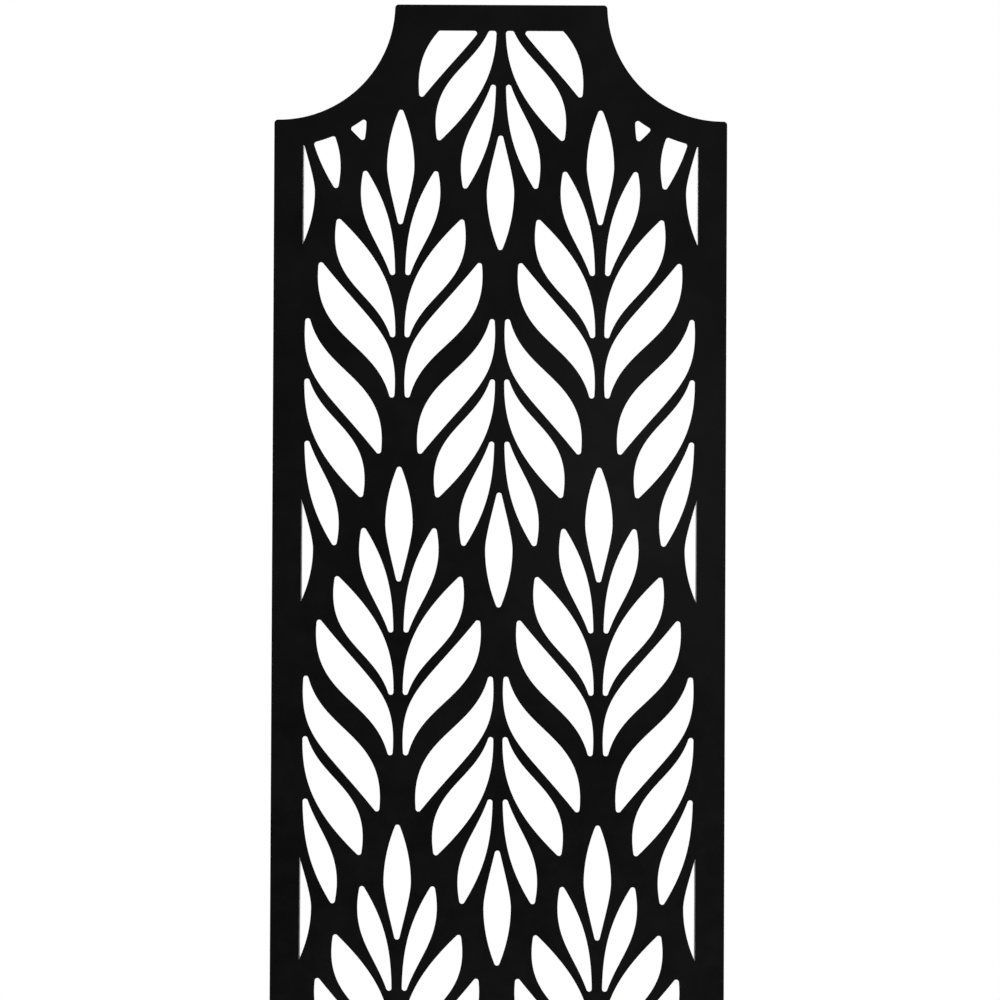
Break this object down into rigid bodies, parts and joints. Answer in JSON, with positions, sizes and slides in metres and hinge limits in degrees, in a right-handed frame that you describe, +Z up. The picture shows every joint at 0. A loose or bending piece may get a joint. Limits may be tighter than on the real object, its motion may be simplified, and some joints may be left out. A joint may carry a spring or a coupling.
{
  "type": "screen",
  "caption": "Free-standing laser cut steel screen with concave shoulders and a leaf-sprig pattern, on a tube frame with two bolted feet and levelling glides.",
  "frame": {"origin": "on the floor, below the middle of the screen", "axes": "+X across the screen, to the right as seen from the front; +Y from the front to the back; +Z up"},
  "size_m": [0.61, 0.42, 1.83],
  "materials": {
    "powder_coat": "satin black powder coat with a fine texture",
    "black_zinc": "black zinc plate",
    "zinc": "bright zinc plate",
    "nylon": "moulded black nylon"
  },
  "bodies": {
    "screen": {"screen_sheet": "powder_coat", "post_left": "powder_coat", "post_right": "powder_coat", "top_rail": "powder_coat", "bottom_rail": "powder_coat", "shoulder_bar_left": "powder_coat", "shoulder_bar_right": "powder_coat", "foot_bar_left": "powder_coat", "foot_bar_right": "powder_coat", "spigot_left": "powder_coat", "spigot_right": "powder_coat", "screw_left_lower": "black_zinc", "screw_left_upper": "black_zinc", "screw_right_lower": "black_zinc", "screw_right_upper": "black_zinc", "washer_left_lower": "black_zinc", "washer_left_upper": "black_zinc", "washer_right_lower": "black_zinc", "washer_right_upper": "black_zinc", "weld_nut_left_lower": "zinc", "weld_nut_left_upper": "zinc", "weld_nut_right_lower": "zinc", "weld_nut_right_upper": "zinc", "glide_nut_left_front": "zinc", "glide_nut_left_back": "zinc", "glide_nut_right_front": "zinc", "glide_nut_right_back": "zinc"},
    "pad_left_front": {"glide_pad_left_front": "nylon"},
    "pad_left_back": {"glide_pad_left_back": "nylon"},
    "pad_right_front": {"glide_pad_right_front": "nylon"},
    "pad_right_back": {"glide_pad_right_back": "nylon"},
    "stud_left_front": {"glide_stud_left_front": "zinc"},
    "stud_left_back": {"glide_stud_left_back": "zinc"},
    "stud_right_front": {"glide_stud_right_front": "zinc"},
    "stud_right_back": {"glide_stud_right_back": "zinc"}
  },
  "joints": [
    {"name": "glide_height_left_front", "type": "slide", "parent": "screen", "child": "pad_left_front", "axis": [0, 0, 1], "range_m": [-0.008, 0]},
    {"name": "glide_height_left_back", "type": "slide", "parent": "screen", "child": "pad_left_back", "axis": [0, 0, 1], "range_m": [-0.008, 0]},
    {"name": "glide_height_right_front", "type": "slide", "parent": "screen", "child": "pad_right_front", "axis": [0, 0, 1], "range_m": [-0.008, 0]},
    {"name": "glide_height_right_back", "type": "slide", "parent": "screen", "child": "pad_right_back", "axis": [0, 0, 1], "range_m": [-0.008, 0]},
    {"name": "stud_turn_left_front", "type": "hinge", "parent": "pad_left_front", "child": "stud_left_front", "pos_m": [-0.285, -0.186, 0.01], "axis": [0, 0, 1], "range_deg": [-2304, 0]},
    {"name": "stud_turn_left_back", "type": "hinge", "parent": "pad_left_back", "child": "stud_left_back", "pos_m": [-0.285, 0.186, 0.01], "axis": [0, 0, 1], "range_deg": [-2304, 0]},
    {"name": "stud_turn_right_front", "type": "hinge", "parent": "pad_right_front", "child": "stud_right_front", "pos_m": [0.285, -0.186, 0.01], "axis": [0, 0, 1], "range_deg": [-2304, 0]},
    {"name": "stud_turn_right_back", "type": "hinge", "parent": "pad_right_back", "child": "stud_right_back", "pos_m": [0.285, 0.186, 0.01], "axis": [0, 0, 1], "range_deg": [-2304, 0]}
  ],
  "couplings": [
    {"joint": "glide_height_left_front", "follows": "stud_turn_left_front", "m_per_rad": 0.00019894},
    {"joint": "glide_height_left_back", "follows": "stud_turn_left_back", "m_per_rad": 0.00019894},
    {"joint": "glide_height_right_front", "follows": "stud_turn_right_front", "m_per_rad": 0.00019894},
    {"joint": "glide_height_right_back", "follows": "stud_turn_right_back", "m_per_rad": 0.00019894}
  ]
}
